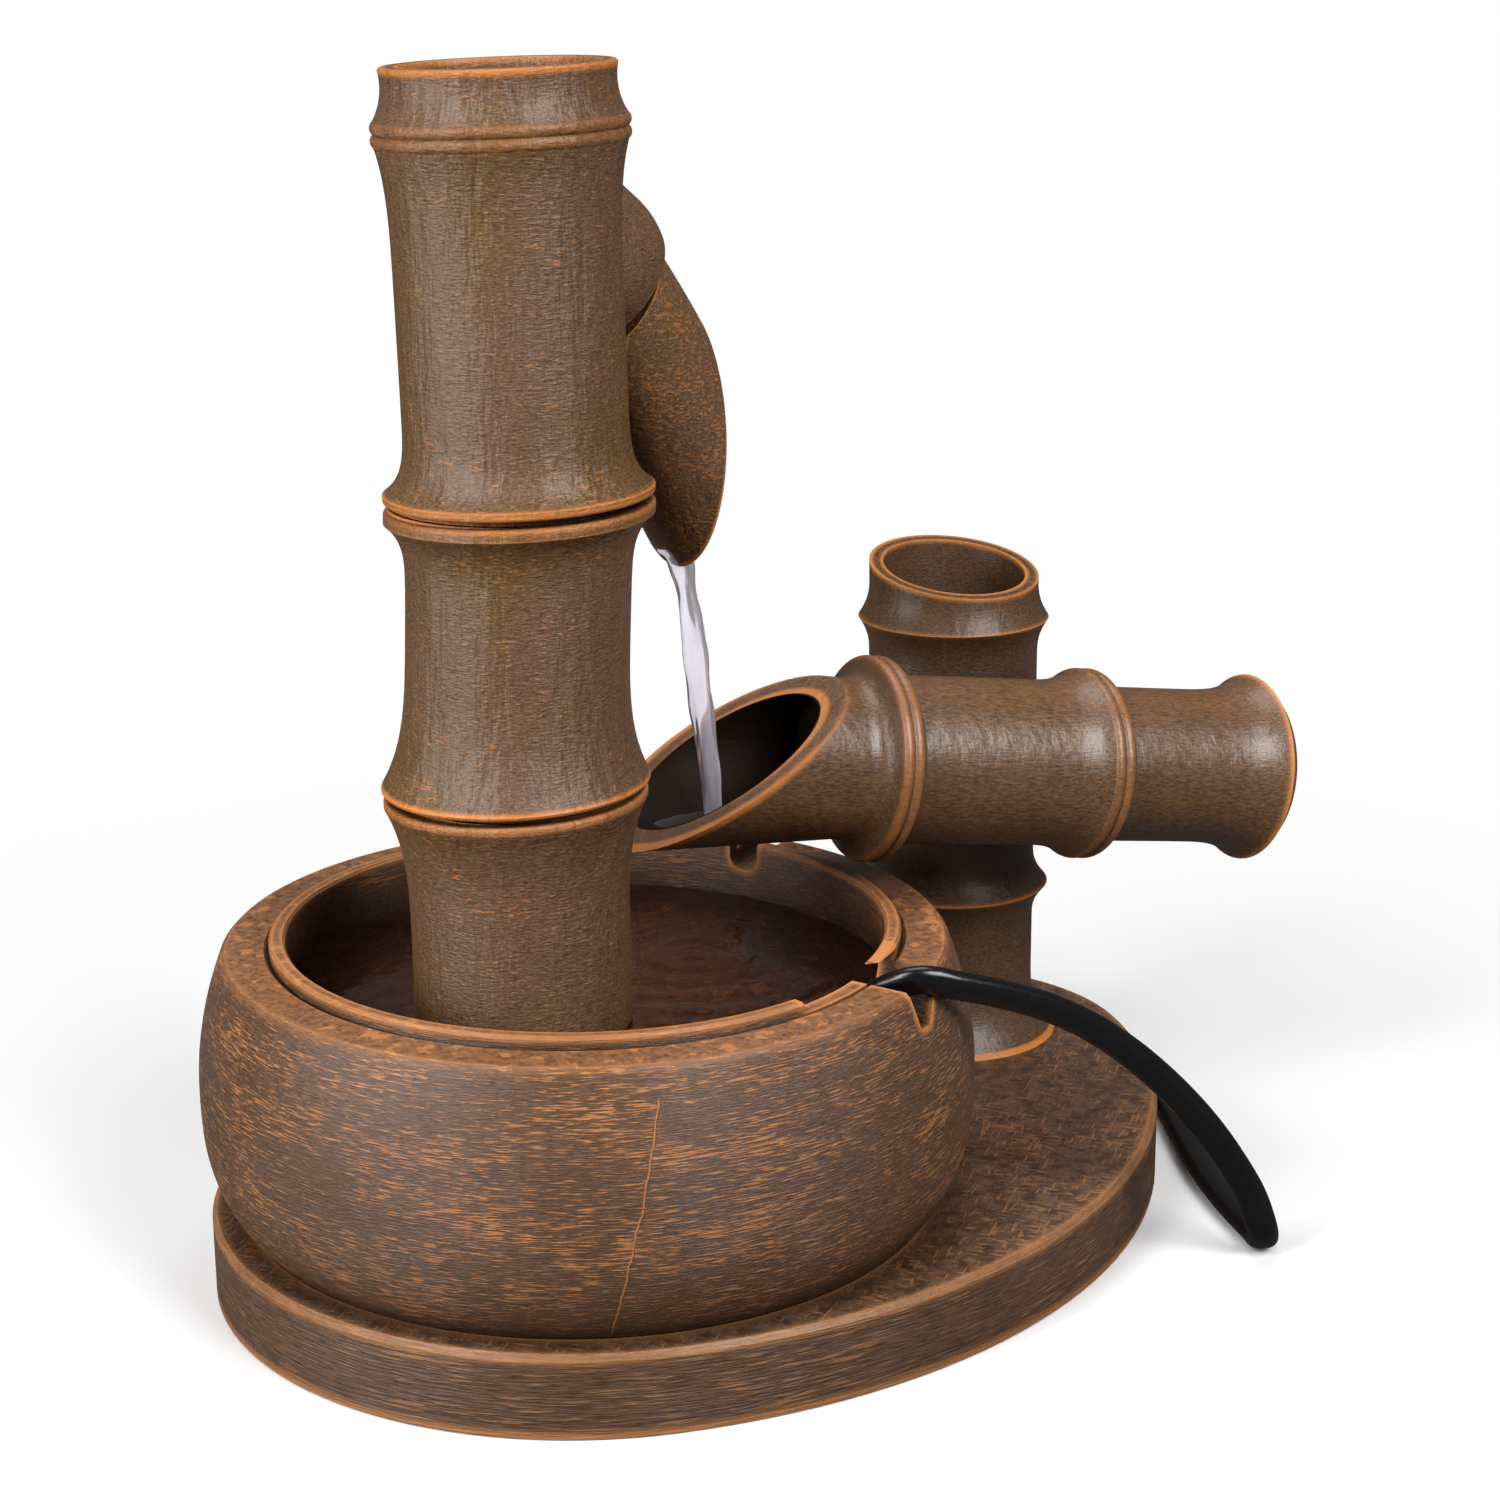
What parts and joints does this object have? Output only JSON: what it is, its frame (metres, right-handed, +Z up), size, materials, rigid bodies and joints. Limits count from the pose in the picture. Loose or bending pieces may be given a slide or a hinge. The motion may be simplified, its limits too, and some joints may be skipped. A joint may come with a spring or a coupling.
{
  "type": "tabletop shishi odoshi water feature",
  "caption": "Tabletop water feature: a glazed bamboo column pours into a pivoting bamboo scoop over a round bowl, with its pump inside.",
  "frame": {"origin": "middle of the footprint on the surface that the feature stands on, the free cord left out", "axes": "+Z up; +X from the bowl to the post that carries the rocking scoop; +Y to the side that the cord's coil lies on"},
  "size_m": [0.3454, 0.3218, 0.2816],
  "materials": {
    "glazed_base": "satin glaze with a woven cloth texture",
    "glazed_bowl": "satin glaze with copper rubbed edges",
    "glazed_bamboo": "satin glaze with copper rubbed ridges and fine scratches",
    "felt": "felt",
    "steel": "brushed",
    "nylon": "matte",
    "rubber": "matte",
    "clay_fill": "unglazed",
    "pump_shell": "satin",
    "iron_core": "laminated",
    "winding": "enamelled copper wire",
    "magnet": "moulded ferrite and plastic",
    "shaft_ceramic": "ground",
    "hose_tube": "clear soft tube",
    "cord_sheath": "satin",
    "plug_shell": "satin",
    "pin_metal": "nickel-plated"
  },
  "bodies": {
    "stand": {"base_plate": "glazed_base", "base_pads": "felt", "bowl": "glazed_bowl", "column_lower": "glazed_bamboo", "hose": "hose_tube", "post": "glazed_bamboo", "pivot_axle": "steel", "axle_washer": "nylon", "push_nut": "steel", "rest_bumper": "rubber", "pump_housing": "pump_shell", "motor_core": "iron_core", "motor_coil": "winding", "pump_feet": "rubber", "pump_cover": "pump_shell", "impeller_shaft": "shaft_ceramic", "shaft_bushes": "rubber", "pump_gland": "rubber", "cord_in_bowl": "cord_sheath", "cord_free": "cord_sheath", "cord_coil": "cord_sheath", "cord_tail": "cord_sheath", "plug_body": "plug_shell", "plug_pins": "pin_metal"},
    "rocker": {"rocker_arm": "glazed_bamboo", "pivot_bush": "nylon", "counterweight": "clay_fill"},
    "middle_length": {"column_middle": "glazed_bamboo"},
    "top_length": {"column_upper": "glazed_bamboo", "spout": "glazed_bamboo", "hose_grommet": "rubber"},
    "rotor": {"impeller": "magnet"},
    "shutter": {"flow_regulator": "pump_shell"}
  },
  "joints": [
    {"name": "rocker_pivot", "type": "hinge", "parent": "stand", "child": "rocker", "pos_m": [0.07104, -0.04273, 0.1057], "axis": [-0.4147, -0.91, 0], "range_deg": [0, 3.8]},
    {"name": "middle_length_lift", "type": "slide", "parent": "stand", "child": "middle_length", "axis": [0, 0, 1], "range_m": [0, 0.03]},
    {"name": "top_length_lift", "type": "slide", "parent": "middle_length", "child": "top_length", "axis": [0, 0, 1], "range_m": [0, 0.04]},
    {"name": "rotor_spin", "type": "hinge", "parent": "stand", "child": "rotor", "pos_m": [-0.0707, -0.0049, 0.0427], "axis": [-0.6293, 0.7771, 0], "continuous": true},
    {"name": "flow_regulator_slide", "type": "slide", "parent": "stand", "child": "shutter", "axis": [0, 0, 1], "range_m": [0, 0.005]}
  ]
}
